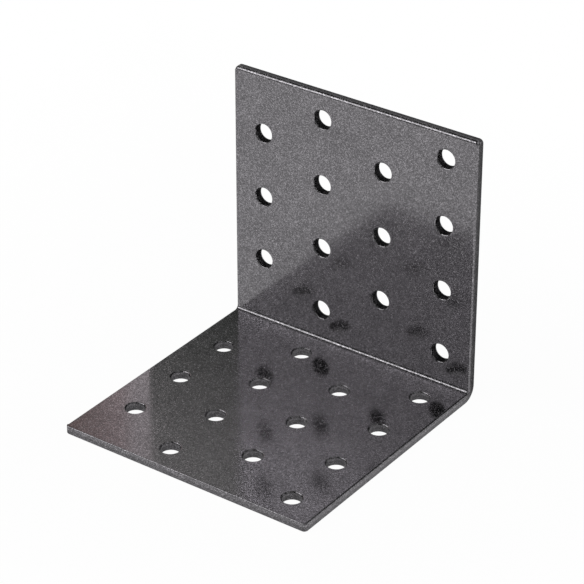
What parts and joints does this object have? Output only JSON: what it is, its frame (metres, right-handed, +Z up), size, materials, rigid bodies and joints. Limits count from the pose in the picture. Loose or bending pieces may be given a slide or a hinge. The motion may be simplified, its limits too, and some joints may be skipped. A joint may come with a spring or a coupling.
{
  "type": "corner brace bracket",
  "caption": "Right-angle corner brace folded from one perforated steel strip, with two equal legs and staggered screw holes in both.",
  "frame": {"origin": "centre of the bounding box, on the base leg's underside", "axes": "+X along the fold, +Z up along the wall leg, out of the base leg's inner face; +Y out of the wall leg's back face"},
  "size_m": [0.08, 0.08, 0.08],
  "materials": {
    "coated_steel": "dark grey semi-gloss metallic coating with a fine sparkle"
  },
  "bodies": {
    "root": {"bracket": "coated_steel"}
  },
  "joints": []
}
